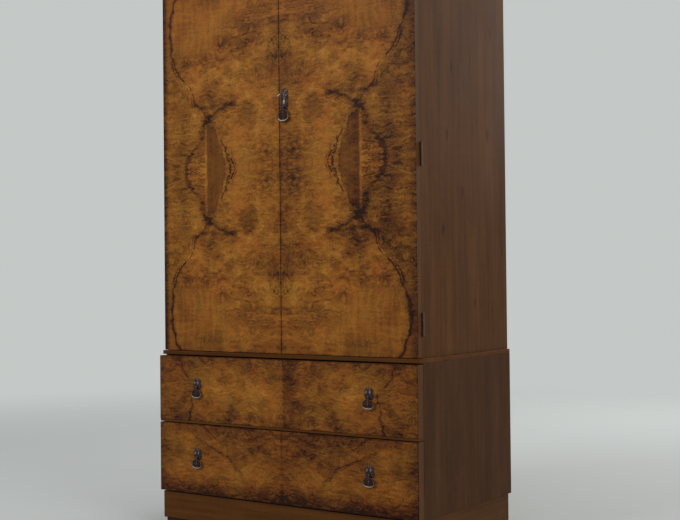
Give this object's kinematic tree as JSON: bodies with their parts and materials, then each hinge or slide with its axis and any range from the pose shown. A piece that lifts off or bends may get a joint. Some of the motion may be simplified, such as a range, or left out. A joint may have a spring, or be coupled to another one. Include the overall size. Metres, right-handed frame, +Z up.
{
  "type": "tallboy",
  "caption": "Walnut tallboy: a two-door cupboard with shelves on a two-drawer base with a plinth, butt hinges and brass drop-ring handles.",
  "frame": {"origin": "on the floor, in the middle of the overall width and of the overall depth from the handles to the back", "axes": "+X to the right seen from the front, +Y to the back, +Z up"},
  "size_m": [0.7624, 0.4438, 1.36],
  "materials": {
    "burr_walnut": "quarter-matched burr walnut veneer, French polished",
    "walnut": "straight-grained walnut veneer, satin polish, worn",
    "dark_wood": "dark stained softwood",
    "inner_wood": "mahogany-toned, thinly polished",
    "back_plywood": "unpolished plywood",
    "drawer_wood": "plain oak, dry waxed",
    "drawer_plywood": "plain plywood",
    "antique_brass": "cast, darkened, rubbed bright on the high spots",
    "brass": "dull, unlacquered",
    "steel": "dull zinc"
  },
  "bodies": {
    "carcass": {"plinth_front": "walnut", "plinth_side_left": "walnut", "plinth_side_right": "walnut", "plinth_back_rail": "dark_wood", "foot_blocks": "dark_wood", "lower_side_left": "walnut", "lower_side_right": "walnut", "lower_bottom_board": "inner_wood", "lower_top_board": "walnut", "lower_back_panel": "back_plywood", "drawer_divider_rail": "inner_wood", "drawer_runners": "inner_wood", "carcass_joining_screws": "steel", "upper_side_left": "walnut", "upper_side_right": "walnut", "upper_bottom_board": "inner_wood", "upper_top_board": "walnut", "upper_back_panel": "back_plywood", "lower_shelf": "inner_wood", "upper_shelf": "inner_wood", "shelf_bearers": "inner_wood", "left_hinge_carcass_leaves": "brass", "right_hinge_carcass_leaves": "brass", "hinge_pins": "brass", "carcass_hinge_screws": "brass", "bolt_keeps": "brass", "catch_strike_plate": "brass"},
    "left_door": {"left_door_panel": "burr_walnut", "left_door_hinge_leaves": "brass", "left_door_hinge_screws": "brass", "left_door_bolt_housings": "brass"},
    "right_door": {"right_door_panel": "burr_walnut", "right_door_hinge_leaves": "brass", "right_door_hinge_screws": "brass", "door_handle_plate": "antique_brass", "door_handle_bolt": "steel", "door_catch_case": "brass"},
    "top_drawer": {"top_drawer_front": "burr_walnut", "top_drawer_side_left": "drawer_wood", "top_drawer_side_right": "drawer_wood", "top_drawer_back": "drawer_wood", "top_drawer_bottom": "drawer_plywood", "top_drawer_handle_plates": "antique_brass", "top_drawer_handle_bolts": "steel", "top_drawer_bead": "walnut"},
    "bottom_drawer": {"bottom_drawer_front": "burr_walnut", "bottom_drawer_side_left": "drawer_wood", "bottom_drawer_side_right": "drawer_wood", "bottom_drawer_back": "drawer_wood", "bottom_drawer_bottom": "drawer_plywood", "bottom_drawer_handle_plates": "antique_brass", "bottom_drawer_handle_bolts": "steel"},
    "left_door_top_bolt": {"left_door_top_bolt": "brass"},
    "left_door_bottom_bolt": {"left_door_bottom_bolt": "brass"},
    "door_catch_ball": {"door_catch_ball": "steel"},
    "top_drawer_left_ring": {"top_drawer_left_ring": "antique_brass"},
    "top_drawer_right_ring": {"top_drawer_right_ring": "antique_brass"},
    "bottom_drawer_left_ring": {"bottom_drawer_left_ring": "antique_brass"},
    "bottom_drawer_right_ring": {"bottom_drawer_right_ring": "antique_brass"},
    "door_handle_ring": {"door_handle_ring": "antique_brass"}
  },
  "joints": [
    {"name": "left_door_hinge", "type": "hinge", "parent": "carcass", "child": "left_door", "pos_m": [-0.378, -0.1822, 0.892], "axis": [0, 0, -1], "range_deg": [0, 175]},
    {"name": "right_door_hinge", "type": "hinge", "parent": "carcass", "child": "right_door", "pos_m": [0.378, -0.1822, 0.892], "axis": [0, 0, 1], "range_deg": [0, 175]},
    {"name": "top_drawer_slide", "type": "slide", "parent": "carcass", "child": "top_drawer", "axis": [0, -1, 0], "range_m": [0, 0.3]},
    {"name": "bottom_drawer_slide", "type": "slide", "parent": "carcass", "child": "bottom_drawer", "axis": [0, -1, 0], "range_m": [0, 0.3]},
    {"name": "top_bolt_slide", "type": "slide", "parent": "left_door", "child": "left_door_top_bolt", "axis": [0, 0, 1], "range_m": [0, 0.014]},
    {"name": "bottom_bolt_slide", "type": "slide", "parent": "left_door", "child": "left_door_bottom_bolt", "axis": [0, 0, -1], "range_m": [0, 0.014]},
    {"name": "catch_ball_press", "type": "slide", "parent": "right_door", "child": "door_catch_ball", "axis": [0, 0, 1], "range_m": [0, 0.0012], "stiffness_N_per_m": 400, "springref_m": -0.002},
    {"name": "top_drawer_left_ring_swing", "type": "hinge", "parent": "top_drawer", "child": "top_drawer_left_ring", "pos_m": [-0.254, -0.2192, 0.35625], "axis": [-1, 0, 0], "range_deg": [-6, 95]},
    {"name": "top_drawer_right_ring_swing", "type": "hinge", "parent": "top_drawer", "child": "top_drawer_right_ring", "pos_m": [0.254, -0.2192, 0.35625], "axis": [-1, 0, 0], "range_deg": [-6, 95]},
    {"name": "bottom_drawer_left_ring_swing", "type": "hinge", "parent": "bottom_drawer", "child": "bottom_drawer_left_ring", "pos_m": [-0.254, -0.2192, 0.1835], "axis": [-1, 0, 0], "range_deg": [-6, 95]},
    {"name": "bottom_drawer_right_ring_swing", "type": "hinge", "parent": "bottom_drawer", "child": "bottom_drawer_right_ring", "pos_m": [0.254, -0.2192, 0.1835], "axis": [-1, 0, 0], "range_deg": [-6, 95]},
    {"name": "door_handle_ring_swing", "type": "hinge", "parent": "right_door", "child": "door_handle_ring", "pos_m": [0.014, -0.2056, 1.0248], "axis": [-1, 0, 0], "range_deg": [-6, 95]}
  ]
}
